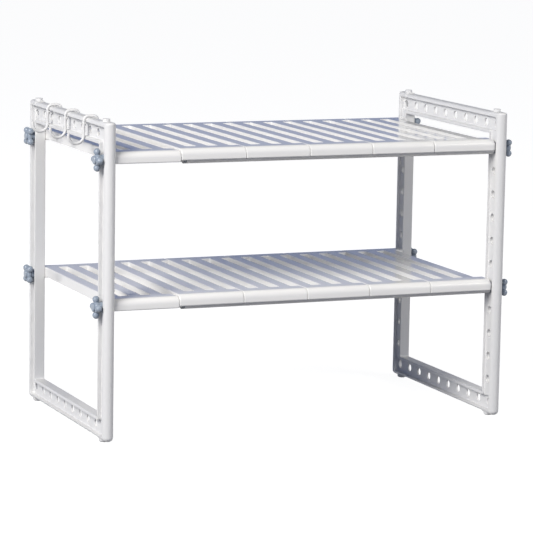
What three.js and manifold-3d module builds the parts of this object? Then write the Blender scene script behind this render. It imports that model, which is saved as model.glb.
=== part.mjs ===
// Expandable two-tier cabinet organizer.
// Two moulded side frames stand on their own feet and are tied together by four telescopic tubes, which
// are drawn against the frames by star knobs. Six slatted panels lie over the tubes on each tier, and three
// hooks hang over the top rail of the left frame. Shown pushed in to its six-panel width.
// Millimetres, +X to the right, +Y to the back, +Z up. The origin is on the floor, under the middle of the
// whole object.

import * as THREE from 'three';
import { mergeVertices } from 'three/addons/utils/BufferGeometryUtils.js';
import Module from 'manifold-3d';

const wasm = await Module();
wasm.setup();

// Clearances
const SEAT_GAP = 0.3;              // between two pieces that rest on each other
const SLIDE_GAP = 0.3;             // round a tube, bush, glide or stud that slides or turns

// Side frames: a ring of two posts and two rails, thinned to a web with rows of holes
const HOLE_PITCH = 30;
const HOLE_DIAMETER = 10;
const POST_HOLES = 13;             // rows from the bottom rail to the top rail
const RAIL_HOLES = 10;             // columns from the front post to the back post
const FRAME_THICKNESS = 14;
const WEB_THICKNESS = 2.4;
const WINDOW_WALL = 2.2;           // flange between the recess and the window, on a post
const RAIL_WINDOW_WALL = 4.2;      // the same on a rail
const NOSE_WALL = 2.4;             // from the recess to the centre of the post's round nose
const RAIL_RECESS = 9.6;           // from the hole line to the recess's edge beside the rail's outer wall
const TOP_WALL = 5.4;
const BOTTOM_WALL = 3.9;
const FOOT_DROP = 4.5;             // height of the bottom rail above the floor
const POST_RISE = 1;               // height of a post above the top rail
const POST_TOP_ROUNDING = 3;
const POST_BOTTOM_ROUNDING = 5.5;
const WINDOW_ROUNDING = 3;
const RECESS_ROUNDING = 4;
const PEG_DIAMETER = 9.4;
const PEG_HEIGHT = 3.4;
const PEG_INSET = 3.5;             // pegs and feet stand this much nearer the window than the holes
const FOOT_DIAMETER = 12;
const FOOT_HEIGHT = 2.6;           // below the rounded end of the post
const FOOT_ROUNDING = 2.5;

// Tiers: the row of holes, counted from the bottom rail, that each tier is screwed to
const UPPER_TIER_ROW = 11;
const LOWER_TIER_ROW = 5;

// Telescopic tubes with their bushes, glides and plugs
const INNER_TUBE_DIAMETER = 11;
const TUBE_WALL = 0.8;
const BUSH_WALL = 0.6;
const BUSH_LENGTH = 12;            // inside the outer tube
const BUSH_FLANGE = 3;
const BUSH_FROM_SEAM = 5;          // from the first panel seam to the flange of the bush
const GLIDE_LENGTH = 8;
const GLIDE_SPIGOT = 15;
const GLIDE_ROOM = 30;             // free run left past the glide
const PLUG_LENGTH = 18;            // inside the tube
const PLUG_FLANGE = 2.4;

// Star knobs on threaded studs
const STUD_DIAMETER = 6;
const STUD_SHORT = 2;              // how far a stud stops inside its plug
const KNOB_LOBES = 4;
const KNOB_RADIUS = 14.2;          // to the tip of a lobe
const LOBE_RADIUS = 3.6;
const KNOB_BODY_RADIUS = 8;        // between the lobes
const KNOB_HEAD = 8;
const KNOB_STAND_OFF = 2.5;        // from the frame to the back of the head
const KNOB_EDGE = 2;
const KNOB_FACE = 3;               // solid face in front of the stud
const HUB_DIAMETER = 13;

// Slatted panels
const PANEL_COUNT = 6;
const PANEL_PITCH = 85.3;
const PANEL_GAP = 0.4;
const DECK_SKIN = 3.9;             // over the tube
const NOSING_WALL = 2.2;           // in front of the tube
const NOSING_DROP = 2.7;           // below the tube's axis
const NOSING_ROUNDING = 8.5;
const CHANNEL_LEG = 2;
const SLATS = 3;
const SLAT_DEPTH = 8;
const SLAT_WALL = 2;
const SKIRT_DEPTH = 12.4;          // left end wall, from the top of the deck
const SLOT_WIDTH = 12.8;
const SLOT_MARGIN = 15;            // from the tube's axis to the end of a slot

// Hooks
const HOOK_COUNT = 3;
const HOOK_PITCH = 71;
const HOOK_SHIFT = -3;             // middle hook from the middle of the rail
const HOOK_SIZE = 3.6;
const HOOK_EDGE = 1;
const HOOK_RADIUS = 8;             // inside of the loop
const HOOK_DROP = 22;              // from the top of the rail to the middle of the loop
const HOOK_LEG = 9;                // down the inner side of the rail
const HOOK_TIP = 1.5;
const HOOK_BEND = 5;
const HOOK_BEAD = 1.8;             // radius of the bead that snaps under the rail's lip

// Facets
const ROUND_SIDES = 12;            // round a turned piece
const HOLE_SIDES = 8;
const ARC_STEPS = 3;               // pairs of facets along an arc
const NOSE_STEPS = 3;              // the same round a post's nose
const CORNER_STEPS = 2;            // the same in the corners of a window or recess
const LOBE_STEPS = 8;              // facets along one lobe of a knob
const OVERCUT = 1;                 // how far a cutter runs past the face that it opens

// Sizes that follow from the ones above
const INNER_TUBE_BORE = INNER_TUBE_DIAMETER - 2 * TUBE_WALL;
const BUSH_BORE = INNER_TUBE_DIAMETER + 2 * SLIDE_GAP;
const BUSH_DIAMETER = BUSH_BORE + 2 * BUSH_WALL;
const OUTER_TUBE_BORE = BUSH_DIAMETER + 2 * SEAT_GAP;
const OUTER_TUBE_DIAMETER = OUTER_TUBE_BORE + 2 * TUBE_WALL;
const STUD_BORE = STUD_DIAMETER + 2 * SLIDE_GAP;
const INNER_PANEL_DROP = (OUTER_TUBE_DIAMETER - INNER_TUBE_DIAMETER) / 2;

const RECESS = OUTER_TUBE_DIAMETER / 2 + SEAT_GAP;
const RECESS_DEPTH = (FRAME_THICKNESS - WEB_THICKNESS) / 2;
const NOSE_RADIUS = FRAME_THICKNESS / 2;
const POST_Y = (RAIL_HOLES - 1) * HOLE_PITCH / 2;
const WINDOW_Y = POST_Y - RECESS - WINDOW_WALL;
const NOSE_FROM_HOLES = RECESS + NOSE_WALL;
const LOW_ROW_Z = FOOT_DROP + BOTTOM_WALL + RAIL_RECESS;
const TOP_ROW_Z = LOW_ROW_Z + (POST_HOLES - 1) * HOLE_PITCH;
const RAIL_TOP = TOP_ROW_Z + RAIL_RECESS + TOP_WALL;
const POST_TOP = RAIL_TOP + POST_RISE;
const PEG_Y = POST_Y - PEG_INSET;

const INNER_WIDTH = PANEL_COUNT * PANEL_PITCH + 2 * SEAT_GAP;
const FRAME_X = (INNER_WIDTH + FRAME_THICKNESS) / 2;
const WEB_FACE = WEB_THICKNESS / 2;
const TUBE_END = WEB_FACE + SEAT_GAP + PLUG_FLANGE + SEAT_GAP;
const FIRST_SEAM_X = -INNER_WIDTH / 2 + SEAT_GAP + PANEL_PITCH;
const BUSH_X = FIRST_SEAM_X + BUSH_FROM_SEAM;
const OUTER_TUBE_X = BUSH_X + BUSH_FLANGE + SEAT_GAP;
const OUTER_TUBE_LENGTH = FRAME_X - TUBE_END - OUTER_TUBE_X;
const GLIDE_X = FRAME_X - TUBE_END - PLUG_LENGTH - GLIDE_ROOM - GLIDE_LENGTH;
const INNER_TUBE_X = -FRAME_X + TUBE_END;
const INNER_TUBE_LENGTH = GLIDE_X - SEAT_GAP - INNER_TUBE_X;

const KNOB_BACK = FRAME_THICKNESS / 2 + KNOB_STAND_OFF;
const KNOB_FRONT = KNOB_BACK + KNOB_HEAD;
const HUB_START = WEB_FACE + SEAT_GAP;
const STUD_START = -(TUBE_END + PLUG_LENGTH - STUD_SHORT);
const STUD_END = KNOB_FRONT - KNOB_FACE - SEAT_GAP;
const HOOK_INNER = FRAME_THICKNESS / 2 + SEAT_GAP;
const HOOK_REACH = HOOK_INNER + 2 * HOOK_SIZE + 2 * HOOK_RADIUS;

// The hooks reach further left than the knobs reach right, so the frames stand off the middle
const MIDDLE_X = (HOOK_REACH - KNOB_FRONT) / 2;

const WHITE = { color: 0xf0efec, roughness: 0.32, metalness: 0 };
const BLUE_GREY = { color: 0xaab8c9, roughness: 0.38, metalness: 0 };
const PAINTED_TUBE = { color: 0xc9ccd0, roughness: 0.4, metalness: 0.2 };
const GREY_PLASTIC = { color: 0x8d9298, roughness: 0.5, metalness: 0 };
const STEEL = { color: 0xb4b7ba, roughness: 0.3, metalness: 1 };

// Turns a sketch drawn across Y and Z, and its depth, into the model's axes: depth runs along +X
const ACROSS_YZ = new THREE.Matrix4().makeBasis(
  new THREE.Vector3(0, 1, 0),
  new THREE.Vector3(0, 0, 1),
  new THREE.Vector3(1, 0, 0),
);

function toSolid(geometry) {
  geometry.deleteAttribute('normal');
  geometry.deleteAttribute('uv');
  const merged = mergeVertices(geometry);
  const corners = merged.index.array;
  const triangles = [];
  for (let i = 0; i < corners.length; i += 3) {
    const [a, b, c] = corners.slice(i, i + 3);
    // A lathe leaves triangles with no area where its profile meets the axis
    if (a !== b && b !== c && c !== a) triangles.push(a, b, c);
  }
  return new wasm.Manifold(new wasm.Mesh({
    numProp: 3,
    vertProperties: new Float32Array(merged.attributes.position.array),
    triVerts: new Uint32Array(triangles),
  }));
}

function toGeometry(solid) {
  const mesh = solid.getMesh();
  const geometry = new THREE.BufferGeometry();
  geometry.setAttribute('position', new THREE.BufferAttribute(mesh.vertProperties, 3));
  geometry.setIndex(new THREE.BufferAttribute(mesh.triVerts, 1));
  return geometry;
}

// A sketch across Y and Z, extruded along +X from the given place
function alongX(sketch, fromX, length, options = {}) {
  const settings = { depth: length, bevelEnabled: false, curveSegments: ARC_STEPS, ...options };
  return new THREE.ExtrudeGeometry(sketch, settings).applyMatrix4(ACROSS_YZ).translate(fromX, 0, 0);
}

// A profile of [radius, x] points, turned about the X axis
function turned(profile) {
  const points = profile.map(([radius, x]) => new THREE.Vector2(radius, x));
  return new THREE.LatheGeometry(points, ROUND_SIDES).rotateZ(-Math.PI / 2);
}

// A profile that closes on itself, for a piece with a bore
function turnedRing(profile) {
  return turned([...profile, profile[0]]);
}

function cylinderAlongX(diameter, fromX, length, sides) {
  const cylinder = new THREE.CylinderGeometry(diameter / 2, diameter / 2, length, sides);
  return cylinder.rotateZ(-Math.PI / 2).translate(fromX + length / 2, 0, 0);
}

function roundedRectangle(path, left, bottom, right, top, radius) {
  path.moveTo(left + radius, bottom);
  path.lineTo(right - radius, bottom);
  path.absarc(right - radius, bottom + radius, radius, -Math.PI / 2, 0);
  path.lineTo(right, top - radius);
  path.absarc(right - radius, top - radius, radius, 0, Math.PI / 2);
  path.lineTo(left + radius, top);
  path.absarc(left + radius, top - radius, radius, Math.PI / 2, Math.PI);
  path.lineTo(left, bottom + radius);
  path.absarc(left + radius, bottom + radius, radius, Math.PI, 1.5 * Math.PI);
  path.closePath();
  return path;
}

// A post's plan is square towards the window and half round on the outside. Its top is rounded off a little
// and its bottom more, so it is two lengths that run into each other.
function postSolid(side) {
  const inside = POST_Y - WINDOW_Y;
  const plan = new THREE.Shape();
  plan.moveTo(-NOSE_RADIUS, -inside);
  plan.lineTo(NOSE_RADIUS, -inside);
  plan.lineTo(NOSE_RADIUS, NOSE_FROM_HOLES);
  plan.absarc(0, NOSE_FROM_HOLES, NOSE_RADIUS, 0, Math.PI);
  plan.closePath();
  const lap = 2 * POST_BOTTOM_ROUNDING;
  const lengths = [
    [FOOT_HEIGHT, POST_TOP / 2 + lap, POST_BOTTOM_ROUNDING],
    [POST_TOP / 2 - lap, POST_TOP, POST_TOP_ROUNDING],
  ];
  const [lower, upper] = lengths.map(([bottom, top, rounding]) => {
    const length = new THREE.ExtrudeGeometry(plan, {
      depth: top - bottom - 2 * rounding,
      bevelThickness: rounding,
      bevelSize: rounding,
      bevelOffset: -rounding,
      bevelSegments: 2,
      curveSegments: NOSE_STEPS,
    });
    length.translate(0, POST_Y, bottom + rounding);
    if (side < 0) length.rotateZ(Math.PI);
    return toSolid(length);
  });
  return lower.add(upper);
}

// Round foot under the post and round peg on top of it, in line so that two organizers stack
function footAndPegSolids(side) {
  const foot = new THREE.LatheGeometry([
    [0, 0],
    [FOOT_DIAMETER / 2 - FOOT_ROUNDING, 0],
    [FOOT_DIAMETER / 2 - FOOT_ROUNDING * (1 - Math.SQRT1_2), FOOT_ROUNDING * (1 - Math.SQRT1_2)],
    [FOOT_DIAMETER / 2, FOOT_ROUNDING],
    [FOOT_DIAMETER / 2, FOOT_HEIGHT + POST_BOTTOM_ROUNDING],
    [0, FOOT_HEIGHT + POST_BOTTOM_ROUNDING],
  ].map(([radius, height]) => new THREE.Vector2(radius, height)), ROUND_SIDES);
  const pegRadius = PEG_DIAMETER / 2;
  const peg = new THREE.CylinderGeometry(pegRadius, pegRadius, PEG_HEIGHT + OVERCUT, ROUND_SIDES);
  peg.translate(0, POST_TOP + (PEG_HEIGHT - OVERCUT) / 2, 0);
  return [foot, peg].map((piece) => toSolid(piece.rotateX(Math.PI / 2).translate(0, side * PEG_Y, 0)));
}

// The recess runs all round the ring, sunk into both faces of the frame
function recessSolid(face) {
  const outerY = POST_Y + RECESS;
  const innerY = POST_Y - RECESS;
  const ring = roundedRectangle(new THREE.Shape(), -outerY, LOW_ROW_Z - RAIL_RECESS, outerY,
    TOP_ROW_Z + RAIL_RECESS, RECESS_ROUNDING);
  ring.holes.push(roundedRectangle(new THREE.Path(), -innerY, LOW_ROW_Z + RECESS, innerY,
    TOP_ROW_Z - RECESS, RECESS_ROUNDING));
  const depth = RECESS_DEPTH + OVERCUT;
  const fromX = face > 0 ? WEB_FACE : -WEB_FACE - depth;
  return toSolid(alongX(ring, fromX, depth, { curveSegments: CORNER_STEPS }));
}

function holePlaces() {
  const places = [];
  for (let row = 0; row < POST_HOLES; row += 1) {
    for (let column = 0; column < RAIL_HOLES; column += 1) {
      const onPost = column === 0 || column === RAIL_HOLES - 1;
      const onRail = row === 0 || row === POST_HOLES - 1;
      if (onPost || onRail) places.push([-POST_Y + column * HOLE_PITCH, LOW_ROW_Z + row * HOLE_PITCH]);
    }
  }
  return places;
}

function frameGeometry() {
  const railBottom = FOOT_DROP;
  const windowBottom = LOW_ROW_Z + RECESS + RAIL_WINDOW_WALL;
  const windowTop = TOP_ROW_Z - RECESS - RAIL_WINDOW_WALL;
  const railEnd = WINDOW_Y + POST_BOTTOM_ROUNDING;
  const plate = new THREE.Shape();
  plate.moveTo(-railEnd, railBottom);
  plate.lineTo(railEnd, railBottom);
  plate.lineTo(railEnd, RAIL_TOP);
  plate.lineTo(-railEnd, RAIL_TOP);
  plate.closePath();
  plate.holes.push(roundedRectangle(new THREE.Path(), -WINDOW_Y, windowBottom, WINDOW_Y, windowTop,
    WINDOW_ROUNDING));
  let frame = toSolid(alongX(plate, -FRAME_THICKNESS / 2, FRAME_THICKNESS, { curveSegments: CORNER_STEPS }));
  for (const side of [-1, 1]) {
    const [foot, peg] = footAndPegSolids(side);
    frame = frame.add(postSolid(side)).add(foot).add(peg);
  }
  for (const face of [-1, 1]) {
    frame = frame.subtract(recessSolid(face));
  }
  for (const [y, z] of holePlaces()) {
    const length = WEB_THICKNESS + 2 * OVERCUT;
    const hole = cylinderAlongX(HOLE_DIAMETER, -length / 2, length, HOLE_SIDES);
    frame = frame.subtract(toSolid(hole.translate(0, y, z)));
  }
  return toGeometry(frame);
}

// A panel's section: a deck with a rounded nosing at the front and back, and under each nosing a channel
// that drops over a tube. Drawn with the tubes' axes at height 0.
function panelSection() {
  const channel = OUTER_TUBE_DIAMETER / 2 + SEAT_GAP;
  const face = POST_Y + channel + NOSING_WALL;
  const top = channel + DECK_SKIN;
  const slatBottom = top - SLAT_DEPTH;
  const legY = POST_Y - channel - CHANNEL_LEG;
  const crownY = face - NOSING_ROUNDING;
  const crownZ = top - NOSING_ROUNDING;
  const section = new THREE.Shape();
  section.moveTo(-face, -NOSING_DROP);
  section.lineTo(-POST_Y - channel, -NOSING_DROP);
  section.absarc(-POST_Y, 0, channel, Math.PI, 0, true);
  section.lineTo(-POST_Y + channel, -NOSING_DROP);
  section.lineTo(-legY, -NOSING_DROP);
  section.lineTo(-legY, slatBottom);
  section.lineTo(legY, slatBottom);
  section.lineTo(legY, -NOSING_DROP);
  section.lineTo(POST_Y - channel, -NOSING_DROP);
  section.absarc(POST_Y, 0, channel, Math.PI, 0, true);
  section.lineTo(POST_Y + channel, -NOSING_DROP);
  section.lineTo(face, -NOSING_DROP);
  section.absarc(crownY, crownZ, NOSING_ROUNDING, 0, Math.PI / 2);
  section.absarc(-crownY, crownZ, NOSING_ROUNDING, Math.PI / 2, Math.PI);
  section.closePath();
  return { section, top, legY };
}

// Three slats to a panel: two slots between them, and an open notch on the right that makes the third slot
// against the next panel. The slats are hollow underneath, and a deeper skirt closes the left end.
function panelGeometry() {
  const { section, top, legY } = panelSection();
  const length = PANEL_PITCH - PANEL_GAP;
  const slatPitch = PANEL_PITCH / SLATS;
  const slatWidth = slatPitch - SLOT_WIDTH;
  const slotEnd = POST_Y - SLOT_MARGIN;
  let panel = toSolid(alongX(section, 0, length));
  for (let slat = 0; slat < SLATS; slat += 1) {
    const slatX = slat * slatPitch;
    const slotX = slatX + slatWidth;
    const last = slat === SLATS - 1;
    const slotWidth = last ? SLOT_WIDTH + OVERCUT : SLOT_WIDTH;
    const slotDepth = SLAT_DEPTH + 2 * OVERCUT;
    const slot = new THREE.BoxGeometry(slotWidth, 2 * slotEnd, slotDepth);
    slot.translate(slotX + slotWidth / 2, 0, top + OVERCUT - slotDepth / 2);
    panel = panel.subtract(toSolid(slot));
    const pocketDepth = SLAT_DEPTH - SLAT_WALL + OVERCUT;
    const pocket = new THREE.BoxGeometry(slatWidth - 2 * SLAT_WALL, 2 * slotEnd, pocketDepth);
    pocket.translate(slatX + slatWidth / 2, 0, top - SLAT_WALL - pocketDepth / 2);
    panel = panel.subtract(toSolid(pocket));
  }
  const skirt = new THREE.BoxGeometry(SLAT_WALL, 2 * legY + CHANNEL_LEG, SKIRT_DEPTH - SLAT_WALL);
  skirt.translate(SLAT_WALL / 2, 0, top - (SKIRT_DEPTH + SLAT_WALL) / 2);
  return toGeometry(panel.add(toSolid(skirt)));
}

function tubeGeometry(diameter, bore, length) {
  const ring = turnedRing([[bore / 2, 0], [diameter / 2, 0], [diameter / 2, length], [bore / 2, length]]);
  return toGeometry(toSolid(ring));
}

// Bush in the open end of an outer tube: a flange outside and a thin sleeve inside
function bushGeometry() {
  const end = BUSH_FLANGE + SEAT_GAP + BUSH_LENGTH;
  return toGeometry(toSolid(turnedRing([
    [BUSH_BORE / 2, 0],
    [OUTER_TUBE_DIAMETER / 2, 0],
    [OUTER_TUBE_DIAMETER / 2, BUSH_FLANGE],
    [BUSH_DIAMETER / 2, BUSH_FLANGE],
    [BUSH_DIAMETER / 2, end],
    [BUSH_BORE / 2, end],
  ])));
}

// Glide on the far end of an inner tube: a spigot pushed into that tube, and a head that runs in the outer
function glideGeometry() {
  const spigot = INNER_TUBE_BORE / 2 - SEAT_GAP;
  const head = OUTER_TUBE_BORE / 2 - SLIDE_GAP;
  return toGeometry(toSolid(turned([
    [0, -SEAT_GAP - GLIDE_SPIGOT],
    [spigot, -SEAT_GAP - GLIDE_SPIGOT],
    [spigot, 0],
    [head, 0],
    [head, GLIDE_LENGTH],
    [0, GLIDE_LENGTH],
  ])));
}

// Plug in the end of a tube, bored for the stud. Its flange fills the recess between the tube and the web.
// Built looking out of the tube: +X is towards the knob.
function plugGeometry(tubeBore) {
  const spigot = tubeBore / 2 - SEAT_GAP;
  const flange = OUTER_TUBE_DIAMETER / 2;
  const inner = -(TUBE_END + PLUG_LENGTH);
  const outer = -WEB_FACE - SEAT_GAP;
  return toGeometry(toSolid(turnedRing([
    [STUD_BORE / 2, inner],
    [spigot, inner],
    [spigot, outer - PLUG_FLANGE],
    [flange, outer - PLUG_FLANGE],
    [flange, outer],
    [STUD_BORE / 2, outer],
  ])));
}

// The knob's head is a star of round lobes on a round body. Its hub passes into the recess and bears on the
// web. The first lobe points up.
function knobGeometry() {
  const points = [];
  const lobeAngle = 2 * Math.PI / KNOB_LOBES;
  const lobeCentre = KNOB_RADIUS - LOBE_RADIUS;
  for (let step = 0; step < KNOB_LOBES * LOBE_STEPS; step += 1) {
    const lobe = Math.floor(step / LOBE_STEPS);
    const fromLobe = ((step % LOBE_STEPS + 0.5) / LOBE_STEPS - 0.5) * lobeAngle;
    const across = lobeCentre * Math.sin(fromLobe);
    const reach = Math.sqrt(Math.max(0, LOBE_RADIUS ** 2 - across ** 2)) + lobeCentre * Math.cos(fromLobe);
    const radius = Math.abs(across) < LOBE_RADIUS ? Math.max(KNOB_BODY_RADIUS, reach) : KNOB_BODY_RADIUS;
    const angle = lobe * lobeAngle + fromLobe;
    points.push(new THREE.Vector2(radius * Math.sin(angle), radius * Math.cos(angle)));
  }
  const head = alongX(new THREE.Shape(points), KNOB_BACK + KNOB_EDGE, KNOB_HEAD - 2 * KNOB_EDGE, {
    bevelEnabled: true,
    bevelThickness: KNOB_EDGE,
    bevelSize: KNOB_EDGE,
    bevelOffset: -KNOB_EDGE,
    bevelSegments: 1,
  });
  const hub = cylinderAlongX(HUB_DIAMETER, HUB_START, KNOB_BACK + KNOB_EDGE - HUB_START, ROUND_SIDES);
  const boreLength = KNOB_FRONT - KNOB_FACE - HUB_START + OVERCUT;
  const bore = cylinderAlongX(STUD_BORE, HUB_START - OVERCUT, boreLength, ROUND_SIDES);
  return toGeometry(toSolid(head).add(toSolid(hub)).subtract(toSolid(bore)));
}

function studGeometry() {
  return toGeometry(toSolid(cylinderAlongX(STUD_DIAMETER, STUD_START, STUD_END - STUD_START, ROUND_SIDES)));
}

// A hook is bent over the rail: a short leg inside, a long one outside with a bead that snaps under the lip
// of the rail, and a loop that opens upwards.
// Drawn across X and Z, with the rail's middle at 0 and +X pointing out of the organizer.
function hookGeometry() {
  const inner = HOOK_INNER;
  const outer = inner + HOOK_SIZE;
  const under = RAIL_TOP + SEAT_GAP;
  const over = under + HOOK_SIZE;
  const loopX = outer + HOOK_RADIUS;
  const loopZ = RAIL_TOP - HOOK_DROP;
  const tipZ = loopZ + HOOK_TIP;
  const tipX = loopX + HOOK_RADIUS + HOOK_SIZE / 2;
  const legZ = RAIL_TOP - HOOK_LEG;
  const beadZ = TOP_ROW_Z + RAIL_RECESS - SEAT_GAP - HOOK_BEAD;
  const outline = new THREE.Shape();
  outline.moveTo(-outer, legZ);
  outline.lineTo(-inner, legZ);
  outline.lineTo(-inner, under);
  outline.lineTo(inner, under);
  outline.absarc(inner, beadZ, HOOK_BEAD, Math.PI / 2, 1.5 * Math.PI);
  outline.absarc(loopX, loopZ, HOOK_RADIUS + HOOK_SIZE, Math.PI, 2 * Math.PI);
  outline.absarc(tipX, tipZ, HOOK_SIZE / 2, 0, Math.PI);
  outline.absarc(loopX, loopZ, HOOK_RADIUS, 2 * Math.PI, Math.PI, true);
  outline.absarc(outer - HOOK_BEND, over - HOOK_BEND, HOOK_BEND, 0, Math.PI / 2);
  outline.absarc(-outer + HOOK_BEND, over - HOOK_BEND, HOOK_BEND, Math.PI / 2, Math.PI);
  outline.closePath();
  const hook = new THREE.ExtrudeGeometry(outline, {
    depth: HOOK_SIZE - 2 * HOOK_EDGE,
    bevelThickness: HOOK_EDGE,
    bevelSize: HOOK_EDGE,
    bevelOffset: -HOOK_EDGE,
    bevelSegments: 1,
    curveSegments: ARC_STEPS,
  });
  hook.rotateX(Math.PI / 2).translate(0, HOOK_SIZE / 2 - HOOK_EDGE, 0);
  return toGeometry(toSolid(hook));
}

const organizer = new THREE.Group();
organizer.position.set(MIDDLE_X, 0, 0);

function addPiece(parent, name, geometry, finish, x = 0, y = 0, z = 0) {
  const piece = new THREE.Mesh(geometry, new THREE.MeshStandardMaterial(finish));
  piece.name = name;
  piece.position.set(x, y, z);
  parent.add(piece);
  return piece;
}

// A group at one hole of a frame, with +X pointing out of the organizer
function outwardGroup(side, y, z) {
  const group = new THREE.Group();
  group.position.set(side * FRAME_X, y, z);
  if (side < 0) group.rotation.z = Math.PI;
  organizer.add(group);
  return group;
}

const frameShape = frameGeometry();
addPiece(organizer, 'left_frame', frameShape, WHITE, -FRAME_X);
addPiece(organizer, 'right_frame', frameShape, WHITE, FRAME_X);

const panelShape = panelGeometry();
const innerTube = tubeGeometry(INNER_TUBE_DIAMETER, INNER_TUBE_BORE, INNER_TUBE_LENGTH);
const outerTube = tubeGeometry(OUTER_TUBE_DIAMETER, OUTER_TUBE_BORE, OUTER_TUBE_LENGTH);
const bush = bushGeometry();
const glide = glideGeometry();
const leftPlug = plugGeometry(INNER_TUBE_BORE);
const rightPlug = plugGeometry(OUTER_TUBE_BORE);
const knob = knobGeometry();
const stud = studGeometry();

for (const [tier, row] of [['upper', UPPER_TIER_ROW], ['lower', LOWER_TIER_ROW]]) {
  const tubeZ = LOW_ROW_Z + row * HOLE_PITCH;
  for (const [place, tubeY] of [['front', -POST_Y], ['back', POST_Y]]) {
    const name = `${tier}_${place}`;
    addPiece(organizer, `${name}_inner_tube`, innerTube, PAINTED_TUBE, INNER_TUBE_X, tubeY, tubeZ);
    addPiece(organizer, `${name}_outer_tube`, outerTube, PAINTED_TUBE, OUTER_TUBE_X, tubeY, tubeZ);
    addPiece(organizer, `${name}_guide_bush`, bush, GREY_PLASTIC, BUSH_X, tubeY, tubeZ);
    addPiece(organizer, `${name}_glide`, glide, GREY_PLASTIC, GLIDE_X, tubeY, tubeZ);
    for (const [side, end, plug] of [['left', -1, leftPlug], ['right', 1, rightPlug]]) {
      const outward = outwardGroup(end, tubeY, tubeZ);
      const lobeUp = place === 'front' && side === 'left';
      const knobTurn = lobeUp ? 0 : Math.PI / KNOB_LOBES;
      addPiece(outward, `${name}_${side}_plug`, plug, GREY_PLASTIC);
      addPiece(outward, `${name}_${side}_knob`, knob, BLUE_GREY).rotation.x = knobTurn;
      addPiece(outward, `${name}_${side}_stud`, stud, STEEL);
    }
  }
  for (let index = 0; index < PANEL_COUNT; index += 1) {
    const panelX = -INNER_WIDTH / 2 + SEAT_GAP + index * PANEL_PITCH;
    const drop = index === 0 ? INNER_PANEL_DROP : 0;
    addPiece(organizer, `${tier}_panel_${index + 1}`, panelShape, WHITE, panelX, 0, tubeZ - drop);
  }
}

const hook = hookGeometry();
const hookNames = ['front_hook', 'middle_hook', 'back_hook'];
for (let index = 0; index < HOOK_COUNT; index += 1) {
  const hookY = HOOK_SHIFT + (index - (HOOK_COUNT - 1) / 2) * HOOK_PITCH;
  addPiece(outwardGroup(-1, hookY, 0), hookNames[index], hook, WHITE);
}

export default organizer;
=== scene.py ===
import math

import bmesh
import bpy
from mathutils import Matrix, Vector


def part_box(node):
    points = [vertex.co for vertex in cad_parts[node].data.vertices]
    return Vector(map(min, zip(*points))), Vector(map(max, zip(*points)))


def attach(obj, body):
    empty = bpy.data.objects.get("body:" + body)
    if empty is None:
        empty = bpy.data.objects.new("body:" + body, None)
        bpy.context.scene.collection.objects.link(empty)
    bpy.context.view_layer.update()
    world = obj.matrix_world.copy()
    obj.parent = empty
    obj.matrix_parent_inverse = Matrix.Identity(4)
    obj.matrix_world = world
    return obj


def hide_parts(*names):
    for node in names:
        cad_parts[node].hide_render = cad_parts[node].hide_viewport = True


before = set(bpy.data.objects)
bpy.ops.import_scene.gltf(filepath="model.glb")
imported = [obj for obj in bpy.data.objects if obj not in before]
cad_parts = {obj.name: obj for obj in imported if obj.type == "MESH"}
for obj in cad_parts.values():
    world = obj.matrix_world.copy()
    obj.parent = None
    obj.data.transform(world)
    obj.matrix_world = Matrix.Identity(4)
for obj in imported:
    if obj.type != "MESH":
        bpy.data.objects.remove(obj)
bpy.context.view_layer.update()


# Side frames. Each is one white plastic moulding: two posts with round noses and two rails, thinned to a web
# with rows of round holes between raised rims. The posts' web is thicker towards the inside. Each frame
# stands on round feet, and round pegs on top of the posts take the feet of a second organizer.
MM = 0.001
frame_half = 7 * MM
web_half = 1.2 * MM
post_web_inside = 4 * MM
window_y = 125 * MM
nose_tip_y = 152.2 * MM
nose_rounding = frame_half - 0.004 * MM
post_bottom = 2.6 * MM
post_top = 394 * MM
post_bottom_rounding = 5.5 * MM
post_top_rounding = 3 * MM
rail_top_rounding = 3.5 * MM
rail_bottom = 4.5 * MM
rail_top = 393 * MM
window_bottom = 30 * MM
window_top = 366 * MM
window_rounding = 1.6 * MM
hole_pitch = 30 * MM
hole_radius = 5 * MM
hole_sides = 32
rail_hole_count = 10
post_hole_count = 11
hole_line_y = 135 * MM
low_row_z = 18 * MM
top_row_z = 378 * MM
recess_half = 7.8 * MM
recess_at_rail = 9.6 * MM
recess_rounding = 2.5 * MM
rim_rounding = 0.9 * MM
nose_rim_rounding = 2.4 * MM
floor_rounding = 1.2 * MM
hole_rounding = 0.5 * MM
peg_line_y = 131.5 * MM
peg_radius = 4.7 * MM
peg_top = 397.4 * MM
peg_rounding = 0.7 * MM
foot_height = 8 * MM
foot_radius = 6 * MM
foot_rounding = 2.5 * MM
overcut = 1 * MM
weld_distance = 0.01 * MM
sliver_width = 0.005 * MM
sharp_angle = math.radians(60)


def start_fresh():
    """Nothing stays selected or in edit mode, so the next operator acts on its own piece alone."""
    if bpy.context.object and bpy.context.object.mode != "OBJECT":
        bpy.ops.object.mode_set(mode="OBJECT")
    bpy.ops.object.select_all(action="DESELECT")


def take(piece):
    """Makes a piece the one that is selected and active."""
    start_fresh()
    piece.select_set(True)
    bpy.context.view_layer.objects.active = piece
    return piece


def settle(piece, name):
    """Names a new primitive and puts its place, turn and size into its mesh."""
    piece.name = name
    piece.data.name = name
    bpy.ops.object.transform_apply(location=True, rotation=True, scale=True)
    return piece


def add_box(name, low, high):
    start_fresh()
    low, high = Vector(low), Vector(high)
    bpy.ops.mesh.primitive_cube_add(size=1, location=(low + high) / 2, scale=high - low)
    return settle(bpy.context.object, name)


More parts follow.
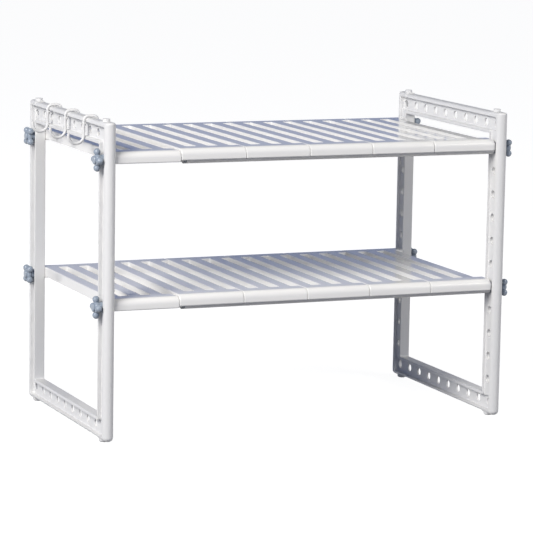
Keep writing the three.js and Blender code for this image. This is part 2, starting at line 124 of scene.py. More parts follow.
def add_rod(name, radius, start, end, sides=48):
    """A round bar between two points that lie on a line along one axis."""
    start_fresh()
    start, end = Vector(start), Vector(end)
    turn = (end - start).to_track_quat("Z", "Y").to_euler()
    bpy.ops.mesh.primitive_cylinder_add(vertices=sides, radius=radius, depth=(end - start).length,
                                        location=(start + end) / 2, rotation=turn)
    return settle(bpy.context.object, name)


def near(a, b, slack=0.02 * MM):
    return abs(a - b) < slack


def pick_edges(piece, wanted):
    """Leaves the piece in edit mode with some edges selected: wanted is given an edge and its two corners."""
    take(piece)
    bpy.ops.object.mode_set(mode="EDIT")
    bpy.ops.mesh.select_mode(type="EDGE")
    bpy.ops.mesh.select_all(action="DESELECT")
    shape = bmesh.from_edit_mesh(piece.data)
    for edge in shape.edges:
        if wanted(edge, edge.verts[0].co, edge.verts[1].co):
            edge.select_set(True)
    bmesh.update_edit_mesh(piece.data)


def round_edges(piece, wanted, radius, segments):
    pick_edges(piece, wanted)
    bpy.ops.mesh.bevel(offset=radius, segments=segments, affect="EDGES", clamp_overlap=False)
    bpy.ops.mesh.select_all(action="SELECT")
    bpy.ops.mesh.remove_doubles(threshold=weld_distance)
    bpy.ops.object.mode_set(mode="OBJECT")


def join_solids(piece, other, operation):
    """Adds the other solid to a piece, or cuts it out of the piece, and removes it."""
    take(piece)
    modifier = piece.modifiers.new("join", "BOOLEAN")
    modifier.operation = operation
    modifier.solver = "EXACT"
    modifier.object = other
    bpy.ops.object.modifier_apply(modifier=modifier.name)
    bpy.data.meshes.remove(other.data)


def repeat(piece, count, step):
    """Makes a piece into a row of itself, one step apart."""
    take(piece)
    modifier = piece.modifiers.new("row", "ARRAY")
    modifier.count = count
    modifier.use_relative_offset = False
    modifier.use_constant_offset = True
    modifier.constant_offset_displace = step
    bpy.ops.object.modifier_apply(modifier=modifier.name)


def close_up(piece):
    """Removes the slivers that cutting leaves, and makes the faces close the solid and point outwards."""
    take(piece)
    bpy.ops.object.mode_set(mode="EDIT")
    bpy.ops.mesh.select_mode(type="VERT")
    bpy.ops.mesh.select_all(action="SELECT")
    bpy.ops.mesh.remove_doubles(threshold=weld_distance)
    bpy.ops.mesh.dissolve_degenerate(threshold=sliver_width)
    bpy.ops.mesh.select_all(action="SELECT")
    bpy.ops.mesh.fill_holes(sides=0)
    bpy.ops.mesh.select_all(action="SELECT")
    bpy.ops.mesh.normals_make_consistent(inside=False)
    bpy.ops.object.mode_set(mode="OBJECT")


def is_sharp(edge):
    return len(edge.link_faces) == 2 and edge.calc_face_angle() > sharp_angle


def finish_surface(piece, angle=35):
    """Smooth shading across small angles, with the large faces kept flat up to their rounded edges."""
    take(piece)
    bpy.ops.object.shade_smooth_by_angle(angle=math.radians(angle))
    modifier = piece.modifiers.new("flat faces", "WEIGHTED_NORMAL")
    modifier.keep_sharp = True
    bpy.ops.object.modifier_apply(modifier=modifier.name)


def place_copy(piece, name, move, turn=0):
    """A copy with its own mesh, turned about the Z axis and moved, and left at the origin."""
    take(piece)
    bpy.ops.object.duplicate()
    copy = bpy.context.object
    copy.data.transform(Matrix.Translation(move) @ Matrix.Rotation(turn, 4, "Z"))
    copy.name = name
    copy.data.name = name
    return copy


def drop(piece):
    bpy.data.meshes.remove(piece.data)


def add_post(side):
    near_y, far_y = sorted((side * window_y, side * nose_tip_y))
    post = add_box("post", (-frame_half, near_y, post_bottom), (frame_half, far_y, post_top))
    tip = side * nose_tip_y
    inside = side * window_y
    round_edges(post, lambda edge, a, b: near(a.y, tip) and near(b.y, tip) and near(a.x, b.x),
                nose_rounding, 10)
    for end_z, rounding in ((post_top, post_top_rounding), (post_bottom, post_bottom_rounding)):
        round_edges(post, lambda edge, a, b: near(a.z, end_z) and near(b.z, end_z)
                    and not (near(a.y, inside) and near(b.y, inside)), rounding, 5)
    return post


def add_rail(low_z, high_z, round_z, rounding):
    rail_end = window_y + overcut
    rail = add_box("rail", (-frame_half, -rail_end, low_z), (frame_half, rail_end, high_z))
    round_edges(rail, lambda edge, a, b: near(a.z, round_z) and near(b.z, round_z) and near(a.x, b.x),
                rounding, 5)
    return rail


def add_rounded_plate(name, from_x, to_x, half_y, low_z, high_z, rounding):
    plate = add_box(name, (from_x, -half_y, low_z), (to_x, half_y, high_z))
    round_edges(plate, lambda edge, a, b: not near(a.x, b.x), rounding, 6)
    return plate


side_frame = add_post(1)
join_solids(side_frame, add_post(-1), "UNION")
join_solids(side_frame, add_rail(window_top, rail_top, rail_top, rail_top_rounding), "UNION")
join_solids(side_frame, add_rail(rail_bottom, window_bottom, rail_bottom,
                                 post_bottom_rounding - (rail_bottom - post_bottom)), "UNION")
round_edges(side_frame, lambda edge, a, b: near(abs(a.y), window_y) and near(abs(b.y), window_y)
            and not near(a.x, b.x) and near(a.z, b.z)
            and (near(a.z, window_bottom) or near(a.z, window_top)), window_rounding, 5)
for from_x, to_x in ((-frame_half - overcut, -post_web_inside), (web_half, frame_half + overcut)):
    recess = add_rounded_plate("recess", from_x, to_x, hole_line_y + recess_half,
                               low_row_z - recess_at_rail, top_row_z + recess_at_rail, recess_rounding)
    island = add_rounded_plate("island", from_x - overcut, to_x + overcut, hole_line_y - recess_half,
                               low_row_z + recess_half, top_row_z - recess_half, recess_rounding)
    join_solids(recess, island, "DIFFERENCE")
    join_solids(side_frame, recess, "DIFFERENCE")
for row_z, low_reach, high_reach in ((low_row_z, recess_at_rail, recess_half),
                                     (top_row_z, recess_half, recess_at_rail)):
    recess = add_rounded_plate("recess", -frame_half - overcut, -web_half, hole_line_y + recess_half,
                               row_z - low_reach, row_z + high_reach, recess_rounding)
    join_solids(side_frame, recess, "DIFFERENCE")
rail_holes = add_rod("holes", hole_radius, (-web_half - overcut, -hole_line_y, low_row_z),
                     (web_half + overcut, -hole_line_y, low_row_z), hole_sides)
repeat(rail_holes, rail_hole_count, (0, hole_pitch, 0))
repeat(rail_holes, 2, (0, 0, top_row_z - low_row_z))
join_solids(side_frame, rail_holes, "DIFFERENCE")
first_hole_z = low_row_z + hole_pitch
post_holes = add_rod("holes", hole_radius, (-post_web_inside - overcut, -hole_line_y, first_hole_z),
                     (web_half + overcut, -hole_line_y, first_hole_z), hole_sides)
repeat(post_holes, post_hole_count, (0, 0, hole_pitch))
repeat(post_holes, 2, (0, 2 * hole_line_y, 0))
join_solids(side_frame, post_holes, "DIFFERENCE")
nose_rim_y = hole_line_y + recess_half
round_edges(side_frame, lambda edge, a, b: near(a.x, -frame_half) and near(b.x, -frame_half)
            and near(abs(a.y), nose_rim_y) and near(abs(b.y), nose_rim_y) and is_sharp(edge),
            nose_rim_rounding, 4)
round_edges(side_frame, lambda edge, a, b: near(abs(a.x), frame_half) and near(a.x, b.x) and is_sharp(edge),
            rim_rounding, 3)


def on_web(a, b):
    """Whether an edge lies in a face of the web."""
    return near(a.x, b.x) and (near(abs(a.x), web_half) or near(a.x, -post_web_inside))


round_edges(side_frame, lambda edge, a, b: on_web(a, b) and is_sharp(edge) and not edge.is_convex,
            floor_rounding, 3)
round_edges(side_frame, lambda edge, a, b: on_web(a, b) and is_sharp(edge) and edge.is_convex,
            hole_rounding, 2)
for side in (-1, 1):
    peg_y = side * peg_line_y
    foot = add_rod("foot", foot_radius, (0, peg_y, 0), (0, peg_y, foot_height))
    round_edges(foot, lambda edge, a, b: near(a.z, 0) and near(b.z, 0), foot_rounding, 5)
    join_solids(side_frame, foot, "UNION")
    peg = add_rod("peg", peg_radius, (0, peg_y, post_top - overcut), (0, peg_y, peg_top))
    round_edges(peg, lambda edge, a, b: near(a.z, peg_top) and near(b.z, peg_top), peg_rounding, 3)
    join_solids(side_frame, peg, "UNION")
close_up(side_frame)


def new_group(name, inputs, outputs):
    """An empty shader node group with its sockets, and the nodes that hold them."""
    group = bpy.data.node_groups.new(name, "ShaderNodeTree")
    for socket, kind, value in inputs:
        made = group.interface.new_socket(socket, in_out="INPUT", socket_type=kind)
        if value is not None:
            made.default_value = value
    for socket, kind in outputs:
        group.interface.new_socket(socket, in_out="OUTPUT", socket_type=kind)
    return group, group.nodes.new("NodeGroupInput"), group.nodes.new("NodeGroupOutput")


def noise(tree, coordinates, scale, detail):
    node = tree.nodes.new("ShaderNodeTexNoise")
    node.inputs["Scale"].default_value = scale
    node.inputs["Detail"].default_value = detail
    tree.links.new(coordinates, node.inputs["Vector"])
    return node.outputs["Fac"]


def spread(tree, value, low, high, from_low=0.3, from_high=0.7):
    """Maps a value from one range to another, whose ends are numbers or sockets."""
    node = tree.nodes.new("ShaderNodeMapRange")
    node.inputs["From Min"].default_value = from_low
    node.inputs["From Max"].default_value = from_high
    for socket, limit in (("To Min", low), ("To Max", high)):
        if hasattr(limit, "is_linked"):
            tree.links.new(limit, node.inputs[socket])
        else:
            node.inputs[socket].default_value = limit
    tree.links.new(value, node.inputs["Value"])
    return node.outputs["Result"]


def mix_colour(tree, factor, first, second):
    """Mixes two colours, which are values or sockets, by a factor."""
    node = tree.nodes.new("ShaderNodeMix")
    node.data_type = "RGBA"
    tree.links.new(factor, node.inputs["Factor"])
    # A mix node has sockets for every type of data. These two inputs and this output are the ones for colour.
    first_socket, second_socket, mixed = node.inputs[6], node.inputs[7], node.outputs[2]
    for socket, colour in ((first_socket, first), (second_socket, second)):
        if hasattr(colour, "is_linked"):
            tree.links.new(colour, socket)
        else:
            socket.default_value = colour
    return mixed


# The moulded plastic effect: clouding of the colour where the melt ran, a slightly uneven gloss, and the fine
# orange peel of the mould's skin.
moulded, given, result = new_group(
    "moulded plastic",
    [("Coordinates", "NodeSocketVector", None), ("Colour", "NodeSocketColor", (1, 1, 1, 1)),
     ("Clouded", "NodeSocketColor", (1, 1, 1, 1)), ("Smoothest", "NodeSocketFloat", 0.2),
     ("Roughest", "NodeSocketFloat", 0.3), ("Peel", "NodeSocketFloat", 0.1)],
    [("Colour", "NodeSocketColor"), ("Roughness", "NodeSocketFloat"), ("Normal", "NodeSocketVector")])
clouds = spread(moulded, noise(moulded, given.outputs["Coordinates"], scale=14, detail=4), 0.0, 1.0)
moulded.links.new(mix_colour(moulded, clouds, given.outputs["Colour"], given.outputs["Clouded"]),
                  result.inputs["Colour"])
gloss = spread(moulded, noise(moulded, given.outputs["Coordinates"], scale=45, detail=3),
               given.outputs["Smoothest"], given.outputs["Roughest"])
moulded.links.new(gloss, result.inputs["Roughness"])
bump_height = 0.05 * MM
peel = moulded.nodes.new("ShaderNodeBump")
peel.inputs["Distance"].default_value = bump_height
moulded.links.new(given.outputs["Peel"], peel.inputs["Strength"])
moulded.links.new(noise(moulded, given.outputs["Coordinates"], scale=900, detail=2), peel.inputs["Height"])
moulded.links.new(peel.outputs["Normal"], result.inputs["Normal"])


def new_material(name):
    """A material with only its output, a principled shader and the piece's own coordinates."""
    material = bpy.data.materials.new(name)
    material.use_nodes = True
    tree = material.node_tree
    shader = tree.nodes["Principled BSDF"]
    coordinates = tree.nodes.new("ShaderNodeTexCoord").outputs["Object"]
    return material, tree, shader, coordinates


def plastic(name, colour, clouded, smoothest, roughest, peel_strength):
    material, tree, shader, coordinates = new_material(name)
    effect = tree.nodes.new("ShaderNodeGroup")
    effect.node_tree = moulded
    tree.links.new(coordinates, effect.inputs["Coordinates"])
    effect.inputs["Colour"].default_value = (*colour, 1)
    effect.inputs["Clouded"].default_value = (*clouded, 1)
    effect.inputs["Smoothest"].default_value = smoothest
    effect.inputs["Roughest"].default_value = roughest
    effect.inputs["Peel"].default_value = peel_strength
    tree.links.new(effect.outputs["Colour"], shader.inputs["Base Color"])
    tree.links.new(effect.outputs["Roughness"], shader.inputs["Roughness"])
    tree.links.new(effect.outputs["Normal"], shader.inputs["Normal"])
    return material


def dress(piece, material):
    """Gives a piece its one material."""
    piece.data.materials.clear()
    piece.data.materials.append(material)


white_plastic = plastic("white frame plastic", (0.745, 0.742, 0.735), (0.73, 0.728, 0.722),
                        smoothest=0.38, roughest=0.48, peel_strength=0.06)
for side, turn in (("left", math.pi), ("right", 0)):
    low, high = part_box(f"{side}_frame")
    middle_x = (low.x + high.x) / 2
    piece = place_copy(side_frame, f"{side}_frame_moulding", (middle_x, 0, 0), turn)
    finish_surface(piece)
    dress(piece, white_plastic)
    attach(piece, f"{side}_side")
    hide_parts(f"{side}_frame")
drop(side_frame)


# Telescopic tubes. Four pairs of thin steel tubes with a pale powder coat join the frames. The thinner ones
# are held by the left frame and slide in the wider ones on the right frame, so the shelf can be drawn out.
# Each stops short of its CAD solid at the frame, because the post's web is thicker here.
tube_wall = 0.8 * MM
web_extra = post_web_inside - web_half
tube_bead = 0.25 * MM


def start_ring(name, sides, radius, place, turn=(0, 0, 0)):
    """An open circle, left in edit mode with its edges selected."""
    start_fresh()
    bpy.ops.mesh.primitive_circle_add(vertices=sides, radius=radius, location=place, rotation=turn)
    ring = settle(bpy.context.object, name)
    bpy.ops.object.mode_set(mode="EDIT")
    bpy.ops.mesh.select_mode(type="VERT")
    bpy.ops.mesh.select_all(action="SELECT")
    return ring


def push_ring(move, grow=1.0, centre=None):
    """Extrudes the selected circle by a move, then makes the new one wider or narrower about its centre."""
    bpy.ops.mesh.extrude_edges_move(TRANSFORM_OT_translate={"value": move})
    if centre:
        bpy.ops.transform.resize(value=(grow, grow, grow), center_override=centre)


def turn_ring(name, profile, sides=48):
    """A ring about the X axis, drawn from one [radius, x] of its closed profile to the next."""
    radius, x = profile[0]
    ring = start_ring(name, sides, radius, (x, 0, 0), (0, math.pi / 2, 0))
    for next_radius, next_x in profile[1:]:
        push_ring((next_x - x, 0, 0), next_radius / radius, (next_x, 0, 0))
        radius, x = next_radius, next_x
    bpy.ops.mesh.select_all(action="DESELECT")
    bpy.ops.mesh.select_non_manifold()
    bpy.ops.mesh.bridge_edge_loops()
    bpy.ops.object.mode_set(mode="OBJECT")
    close_up(ring)
    return ring


def add_tube(name, node):
    low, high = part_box(node)
    radius = (high.z - low.z) / 2
    bore = radius - tube_wall
    length = high.x - low.x - web_extra
    tube = turn_ring(name, [
        (bore + tube_bead, 0), (radius - tube_bead, 0), (radius, tube_bead),
        (radius, length - tube_bead), (radius - tube_bead, length), (bore + tube_bead, length),
        (bore, length - tube_bead), (bore, tube_bead)])
    finish_surface(tube)
    return tube


# The powder coat effect: a fine even grain with a soft gloss.
def powder_coat(name, colour, shaded):
    material, tree, shader, coordinates = new_material(name)
    grain = noise(tree, coordinates, scale=1400, detail=3)
    patches = noise(tree, coordinates, scale=25, detail=3)
    tree.links.new(mix_colour(tree, spread(tree, patches, 0.0, 1.0), (*colour, 1), (*shaded, 1)),
                   shader.inputs["Base Color"])
    tree.links.new(spread(tree, patches, 0.34, 0.46), shader.inputs["Roughness"])
    bump = tree.nodes.new("ShaderNodeBump")
    bump.inputs["Strength"].default_value = 0.25
    bump.inputs["Distance"].default_value = bump_height
    tree.links.new(grain, bump.inputs["Height"])
    tree.links.new(bump.outputs["Normal"], shader.inputs["Normal"])
    return material


tube_coat = powder_coat("pale powder coat", (0.8, 0.79, 0.77), (0.76, 0.75, 0.735))
tiers = ("upper", "lower")
places = ("front", "back")
for kind, body, start_x in (("inner_tube", "left_side", web_extra), ("outer_tube", "right_side", 0)):
    tube = add_tube(kind, f"upper_front_{kind}")
    for tier in tiers:
        for place in places:
            node = f"{tier}_{place}_{kind}"
            low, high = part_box(node)
            piece = place_copy(tube, f"{node}_coated",
                               (low.x + start_x, (low.y + high.y) / 2, (low.z + high.z) / 2))
            dress(piece, tube_coat)
            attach(piece, body)
            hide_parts(node)
    drop(tube)


# Bushes, glides and plugs. These are plain grey nylon turnings: a flanged bush in the open end of each wide
# tube, a glide on the hidden end of each thin one, and a plug in the outer end of both, bored for the knob's
# stud. The glides are the CAD solids themselves.
grey_plastic = plastic("grey nylon", (0.27, 0.285, 0.31), (0.24, 0.255, 0.28),
                       smoothest=0.42, roughest=0.55, peel_strength=0.2)
bush_flange = 3 * MM
bush_bore = 5.8 * MM
bush_radius = 6.4 * MM
flange_radius = 7.5 * MM
plug_flange = 2.4 * MM
plug_bore = 3.3 * MM
left_spigot = 4.4 * MM
right_spigot = 6.4 * MM
flange_bead = 0.4 * MM

low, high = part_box("upper_front_guide_bush")
bush_length = high.x - low.x
bush = turn_ring("bush", [
    (bush_bore + flange_bead, 0), (flange_radius - flange_bead, 0), (flange_radius, flange_bead),
    (flange_radius, bush_flange - flange_bead), (flange_radius - flange_bead, bush_flange),
    (bush_radius, bush_flange), (bush_radius, bush_length),
    (bush_bore, bush_length), (bush_bore, flange_bead)])
finish_surface(bush)
low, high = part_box("upper_front_left_plug")
plug_length = high.x - low.x
shoulder_x = plug_length - plug_flange
plugs = {}
for side, spigot in (("left", left_spigot), ("right", right_spigot)):
    plugs[side] = turn_ring("plug", [
        (plug_bore, 0), (spigot - flange_bead, 0), (spigot, flange_bead), (spigot, shoulder_x),
        (flange_radius - flange_bead, shoulder_x), (flange_radius, shoulder_x + flange_bead),
        (flange_radius, plug_length), (plug_bore, plug_length)])
    finish_surface(plugs[side])
for tier in tiers:
    for place in places:
        node = f"{tier}_{place}_guide_bush"
        low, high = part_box(node)
        piece = place_copy(bush, f"{node}_turned", (low.x, (low.y + high.y) / 2, (low.z + high.z) / 2))
        dress(piece, grey_plastic)
        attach(piece, "right_side")
        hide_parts(node)
        for side, turn in (("left", math.pi), ("right", 0)):
            node = f"{tier}_{place}_{side}_plug"
            low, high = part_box(node)
            inner_x = high.x + web_extra if side == "left" else low.x - web_extra
            piece = place_copy(plugs[side], f"{node}_turned",
                               (inner_x, (low.y + high.y) / 2, (low.z + high.z) / 2), turn)
            dress(piece, grey_plastic)
            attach(piece, f"{side}_side")
            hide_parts(node)
        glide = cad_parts[f"{tier}_{place}_glide"]
        glide.data.materials.clear()
        glide.data.materials.append(grey_plastic)
drop(bush)
for plug in plugs.values():
    drop(plug)


# Star knobs. Each is a blue-grey plastic grip of four ball-ended lobes about a raised boss, moulded on a
# steel stud. Its hub reaches into the recess of the frame and clamps the web against the plug in the tube.
knob_lobes = 4
lobe_points = 24
knob_reach = 14.2 * MM
lobe_radius = 3.6 * MM
knob_body = 7.6 * MM
knob_back = 9.5 * MM
lobe_front = 15.3 * MM
ball_radius = 4.3 * MM
ball_line = 9.7 * MM
ball_x = 12.7 * MM
knob_front = 17.5 * MM
lobe_rounding = 2.4 * MM
boss_radius = 5.2 * MM
boss_rounding = 1.1 * MM
hub_radius = 6.5 * MM
hub_gap = 0.3 * MM
hub_start = web_half + hub_gap
hub_end = knob_back + 2 * MM
angle_slack = 0.01
knob_blue = plastic("blue grey plastic", (0.31, 0.36, 0.43), (0.275, 0.325, 0.39),
                    smoothest=0.16, roughest=0.26, peel_strength=0.12)


def knob_radius(angle):
    """How far the star reaches at an angle from its nearest lobe."""
    centre = knob_reach - lobe_radius
    across = abs(centre * math.sin(angle))
    if across >= lobe_radius:
        return knob_body
    return max(knob_body, centre * math.cos(angle) + math.sqrt(lobe_radius ** 2 - across ** 2))


lobe_angle = 2 * math.pi / knob_lobes
knob = start_ring("knob", knob_lobes * lobe_points, knob_reach, (knob_back, 0, 0), (0, math.pi / 2, 0))
for step in range(lobe_points // 2 + 1):
    from_lobe = step * lobe_angle / lobe_points
    bpy.ops.mesh.select_all(action="DESELECT")
    shape = bmesh.from_edit_mesh(knob.data)
    for corner in shape.verts:
        angle = math.atan2(corner.co.y, corner.co.z) % lobe_angle
        corner.select_set(near(min(angle, lobe_angle - angle), from_lobe, angle_slack))
    bmesh.update_edit_mesh(knob.data)
    ratio = knob_radius(from_lobe) / knob_reach
    bpy.ops.transform.resize(value=(1, ratio, ratio), center_override=(knob_back, 0, 0))
bpy.ops.mesh.select_all(action="SELECT")
push_ring((lobe_front - knob_back, 0, 0))
bpy.ops.object.mode_set(mode="OBJECT")
close_up(knob)
round_edges(knob, lambda edge, a, b: near(a.x, b.x) and is_sharp(edge), lobe_rounding, 5)
close_up(knob)
for number in range(knob_lobes):
    angle = number * lobe_angle
    start_fresh()
    bpy.ops.mesh.primitive_uv_sphere_add(segments=24, ring_count=14, radius=ball_radius, location=(
        ball_x, ball_line * math.sin(angle), ball_line * math.cos(angle)))
    join_solids(knob, settle(bpy.context.object, "ball"), "UNION")
boss = add_rod("boss", boss_radius, (hub_end, 0, 0), (knob_front, 0, 0))
round_edges(boss, lambda edge, a, b: near(a.x, knob_front) and near(b.x, knob_front), boss_rounding, 4)
join_solids(knob, boss, "UNION")
hub = add_rod("hub", hub_radius, (hub_start, 0, 0), (hub_end, 0, 0))
join_solids(knob, hub, "UNION")
close_up(knob)
finish_surface(knob, angle=50)

steel, tree, shader, coordinates = new_material("zinc plated steel")
shader.inputs["Metallic"].default_value = 1.0
streaks = noise(tree, coordinates, scale=300, detail=4)
tree.links.new(mix_colour(tree, streaks, (0.62, 0.64, 0.65, 1), (0.5, 0.52, 0.54, 1)),
               shader.inputs["Base Color"])
tree.links.new(spread(tree, streaks, 0.25, 0.4), shader.inputs["Roughness"])

for tier in tiers:
    for place in places:
        for side, turn in (("left", math.pi), ("right", 0)):
            name = f"{tier}_{place}_{side}"
            lobe_up = place == "front" and side == "left"
            low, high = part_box(f"{name}_stud")
            frame_low, frame_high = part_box(f"{side}_frame")
            middle_x = (frame_low.x + frame_high.x) / 2
            piece = place_copy(knob, f"{name}_grip", (0, 0, 0))
            piece.data.transform(Matrix.Rotation(0 if lobe_up else lobe_angle / 2, 4, "X"))
            piece.data.transform(Matrix.Translation((middle_x, (low.y + high.y) / 2, (low.z + high.z) / 2))
                                 @ Matrix.Rotation(turn, 4, "Z"))
            dress(piece, knob_blue)
            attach(piece, f"{name}_screw")
            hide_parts(f"{name}_knob")
            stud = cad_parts[f"{name}_stud"]
            stud.data.materials.clear()
            stud.data.materials.append(steel)
drop(knob)


# Slatted panels. Each is a glossy white moulding with a rounded nosing at the front and back, whose channels
# drop over the tubes. Two slots and an open notch leave three hollow slats, and a deeper skirt closes the
# left end.
panel_count = 6
panel_pitch = 85.3 * MM
panel_length = 84.9 * MM
panel_face_y = 145 * MM
deck_top = 11.7 * MM
nosing_drop = 2.7 * MM
nosing_rounding = 8.5 * MM
channel_radius = 7.8 * MM
channel_sides = 64
leg_y = 125.2 * MM
slat_count = 3
slat_pitch = panel_pitch / slat_count
slot_width = 12.8 * MM
slat_width = slat_pitch - slot_width
slot_end_y = 120 * MM
slat_depth = 8 * MM
slat_wall = 2 * MM
skirt_depth = 12.4 * MM
slot_rounding = 2.5 * MM
end_rounding = 1.2 * MM
lip_rounding = 1.6 * MM
deck_edge_rounding = 0.6 * MM

panel = add_box("panel", (0, -panel_face_y, -nosing_drop), (panel_length, panel_face_y, deck_top))
round_edges(panel, lambda edge, a, b: near(a.z, deck_top) and near(b.z, deck_top) and near(a.y, b.y),
            nosing_rounding, 10)
round_edges(panel, lambda edge, a, b: near(a.z, -nosing_drop) and near(b.z, -nosing_drop) and near(a.y, b.y),
            lip_rounding, 4)
round_edges(panel, lambda edge, a, b: near(a.x, b.x) and is_sharp(edge)
            and not (near(a.z, -nosing_drop) and near(b.z, -nosing_drop)), end_rounding, 3)
for side in (-1, 1):
    bore = add_rod("channel", channel_radius, (-overcut, side * hole_line_y, 0),
                   (panel_length + overcut, side * hole_line_y, 0), channel_sides)
    join_solids(panel, bore, "DIFFERENCE")
    mouth = add_box("mouth", (-overcut, side * hole_line_y - channel_radius, -nosing_drop - overcut),
                    (panel_length + overcut, side * hole_line_y + channel_radius, 0))
    join_solids(panel, mouth, "DIFFERENCE")
under = add_box("under", (-overcut, -leg_y, -nosing_drop - overcut),
                (panel_length + overcut, leg_y, deck_top - skirt_depth))
join_solids(panel, under, "DIFFERENCE")
under = add_box("under", (slat_wall, -leg_y, -nosing_drop - overcut),
                (panel_length + overcut, leg_y, deck_top - slat_depth))
join_solids(panel, under, "DIFFERENCE")
for slat in range(slat_count):
    slot_x = slat * slat_pitch + slat_width
    slot = add_box("slot", (slot_x, -slot_end_y, -nosing_drop),
                   (slot_x + slot_width, slot_end_y, deck_top + overcut))
    round_edges(slot, lambda edge, a, b: not near(a.z, b.z), slot_rounding, 4)
    join_solids(panel, slot, "DIFFERENCE")
    pocket = add_box("pocket", (slat * slat_pitch + slat_wall, -slot_end_y, -nosing_drop),
                     (slat * slat_pitch + slat_width - slat_wall, slot_end_y, deck_top - slat_wall))
    join_solids(panel, pocket, "DIFFERENCE")
round_edges(panel, lambda edge, a, b: near(a.z, deck_top) and near(b.z, deck_top) and is_sharp(edge),
            deck_edge_rounding, 3)
finish_surface(panel)

panel_white = plastic("glossy panel plastic", (0.85, 0.842, 0.825), (0.825, 0.818, 0.803),
                      smoothest=0.05, roughest=0.09, peel_strength=0.05)
for tier in tiers:
    for number in range(1, panel_count + 1):
        node = f"{tier}_panel_{number}"
        low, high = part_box(node)
        piece = place_copy(panel, f"{node}_moulding", (low.x, 0, high.z - deck_top))
        dress(piece, panel_white)
        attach(piece, node)
        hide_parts(node)
drop(panel)


# Hooks. Each is a white plastic rod bent over the top rail, with a bead that snaps under the rail's lip and a
# loop that opens upwards on the outside.
rod_radius = 1.8 * MM
rod_sides = 20
inner_x = 9.1 * MM
over_z = 395.1 * MM
bend = 6 * MM
leg_z = 384 * MM
loop_radius = 9.8 * MM
loop_z = 371 * MM
tip_rise = 1.5 * MM
bead_radius = 2 * MM
bead_depth = 0.2 * MM
bead_z = 385.5 * MM


def bend_rod(angle, centre_x, centre_z, steps):
    """Bends the rod on about the Y axis. The spin operator turns the other way, so its angle is reversed."""
    bpy.ops.mesh.spin(steps=steps, angle=-angle, center=(centre_x, 0, centre_z), axis=(0, 1, 0))


def tip_ring(angle):
    """How wide a rod's round tip is, and how far it rises, at an angle above the rod's last full circle."""
    return rod_radius * math.cos(math.radians(angle)), rod_radius * math.sin(math.radians(angle))


tip_angles = (75, 50, 25, 0)
wide, rise = tip_ring(tip_angles[0])
leg_start = leg_z + rod_radius
hook = start_ring("hook", rod_sides, wide, (-inner_x, 0, leg_start - rise))
for angle in tip_angles[1:]:
    next_wide, next_rise = tip_ring(angle)
    push_ring((0, 0, rise - next_rise), next_wide / wide, (-inner_x, 0, leg_start - next_rise))
    wide, rise = next_wide, next_rise
push_ring((0, 0, over_z - bend - leg_start))
bend_rod(math.pi / 2, -inner_x + bend, over_z - bend, 8)
push_ring((2 * (inner_x - bend), 0, 0))
bend_rod(math.pi / 2, inner_x - bend, over_z - bend, 8)
push_ring((0, 0, loop_z - (over_z - bend)))
bend_rod(-math.pi, inner_x + loop_radius, loop_z, 24)
push_ring((0, 0, tip_rise))
tip_x = inner_x + 2 * loop_radius
for angle in reversed(tip_angles[:-1]):
    next_wide, next_rise = tip_ring(angle)
    push_ring((0, 0, next_rise - rise), next_wide / wide, (tip_x, 0, loop_z + tip_rise + next_rise))
    wide, rise = next_wide, next_rise
bpy.ops.object.mode_set(mode="OBJECT")
close_up(hook)
start_fresh()
bpy.ops.mesh.primitive_uv_sphere_add(segments=20, ring_count=12, radius=bead_radius,
                                     location=(inner_x - rod_radius + bead_depth, 0, bead_z))
bead = settle(bpy.context.object, "bead")
join_solids(hook, bead, "UNION")
finish_surface(hook, angle=50)
for node in ("front_hook", "middle_hook", "back_hook"):
    low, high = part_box(node)
    frame_low, frame_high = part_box("left_frame")
    piece = place_copy(hook, f"{node}_rod",
                       ((frame_low.x + frame_high.x) / 2, (low.y + high.y) / 2, 0), math.pi)
    dress(piece, white_plastic)
    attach(piece, node)
    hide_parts(node)
drop(hook)


# Studio. The organizer stands on a plain pale floor in a blue-grey room, lit by a large soft lamp high on the
# left front and a weaker one high on the right front. The floor glows only where it is seen, straight or in a
# mirror image, so that it looks white without lighting the organizer from below.
floor_size = 60
floor_z = -0.2 * MM
floor_colour = (0.2, 0.2, 0.205, 1)
floor_glow = 0.95
horizon_colour = (0.085, 0.15, 0.37, 1)
overhead_colour = (0.07, 0.075, 0.09, 1)
horizon_end, overhead_start = 0.2, 0.5
aim_z = 200 * MM

start_fresh()
bpy.ops.mesh.primitive_plane_add(size=floor_size, location=(0, 0, floor_z))
floor = settle(bpy.context.object, "floor")
material = bpy.data.materials.new("pale floor")
material.use_nodes = True
tree = material.node_tree
tree.nodes.clear()
output = tree.nodes.new("ShaderNodeOutputMaterial")
matt = tree.nodes.new("ShaderNodeBsdfDiffuse")
matt.inputs["Color"].default_value = floor_colour
glow = tree.nodes.new("ShaderNodeEmission")
light_path = tree.nodes.new("ShaderNodeLightPath")
seen = light_path.outputs["Is Camera Ray"]
for ray in ("Is Glossy Ray", "Is Transmission Ray"):
    either = tree.nodes.new("ShaderNodeMath")
    either.operation = "MAXIMUM"
    tree.links.new(seen, either.inputs[0])
    tree.links.new(light_path.outputs[ray], either.inputs[1])
    seen = either.outputs[0]
level = tree.nodes.new("ShaderNodeMath")
level.operation = "MULTIPLY"
level.inputs[1].default_value = floor_glow
tree.links.new(seen, level.inputs[0])
tree.links.new(level.outputs[0], glow.inputs["Strength"])
both = tree.nodes.new("ShaderNodeAddShader")
tree.links.new(matt.outputs[0], both.inputs[0])
tree.links.new(glow.outputs[0], both.inputs[1])
tree.links.new(both.outputs[0], output.inputs["Surface"])
floor.data.materials.append(material)

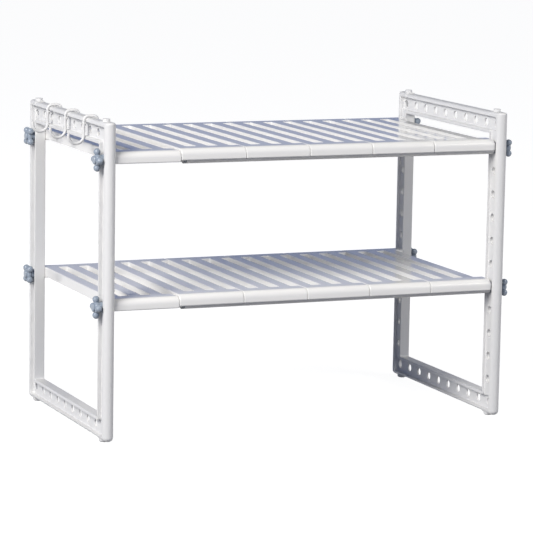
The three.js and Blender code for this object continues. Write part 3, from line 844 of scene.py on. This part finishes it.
world = bpy.context.scene.world or bpy.data.worlds.new("studio")
bpy.context.scene.world = world
world.use_nodes = True
tree = world.node_tree
room = tree.nodes["Background"]
direction = tree.nodes.new("ShaderNodeSeparateXYZ")
tree.links.new(tree.nodes.new("ShaderNodeTexCoord").outputs["Generated"], direction.inputs["Vector"])
height = spread(tree, direction.outputs["Z"], 0.0, 1.0, horizon_end, overhead_start)
tree.links.new(mix_colour(tree, height, horizon_colour, overhead_colour), room.inputs["Color"])


def add_lamp(name, azimuth, elevation, distance, size, watts, colour):
    """A square soft lamp that faces the middle of the object. Azimuth is counted to the left of the front."""
    target = Vector((0, 0, aim_z))
    azimuth, elevation = math.radians(azimuth), math.radians(elevation)
    away = Vector((-math.sin(azimuth) * math.cos(elevation), -math.cos(azimuth) * math.cos(elevation),
                   math.sin(elevation)))
    start_fresh()
    bpy.ops.object.light_add(type="AREA", location=target + away * distance,
                             rotation=away.to_track_quat("Z", "Y").to_euler())
    lamp = bpy.context.object
    lamp.name = name
    lamp.data.size = size
    lamp.data.energy = watts
    lamp.data.color = colour


add_lamp("left", azimuth=60, elevation=31, distance=3.5, size=1.6, watts=138, colour=(1.0, 0.98, 0.95))
add_lamp("right", azimuth=-50, elevation=28, distance=3.0, size=1.4, watts=38, colour=(1.0, 0.97, 0.89))

# Camera. It looks at the left front from a little above, as in the photograph. Its place, turn and focal
# length were solved from the rows of holes and the corners of the frames.
sensor_width = 36
focal_pixels = 2834.7
photo_width = 533
eye = Vector((-1.3804, -3.3458, 0.751263))
yaw = math.radians(22.5667)
pitch = math.radians(8.8734)
roll = math.radians(0.98404)
forward = Vector((math.sin(yaw) * math.cos(pitch), math.cos(yaw) * math.cos(pitch), -math.sin(pitch)))
level_right = Vector((math.cos(yaw), -math.sin(yaw), 0))
level_up = level_right.cross(forward)
right = math.cos(roll) * level_right + math.sin(roll) * level_up
up = math.cos(roll) * level_up - math.sin(roll) * level_right
start_fresh()
bpy.ops.object.camera_add()
camera = bpy.context.object
camera.matrix_world = Matrix((
    (right.x, up.x, -forward.x, eye.x),
    (right.y, up.y, -forward.y, eye.y),
    (right.z, up.z, -forward.z, eye.z),
    (0, 0, 0, 1)))
camera.data.sensor_width = sensor_width
camera.data.lens = sensor_width * focal_pixels / photo_width
camera.data.clip_end = 100
bpy.context.scene.camera = camera
bpy.context.scene.view_settings.view_transform = "Standard"

start_fresh()
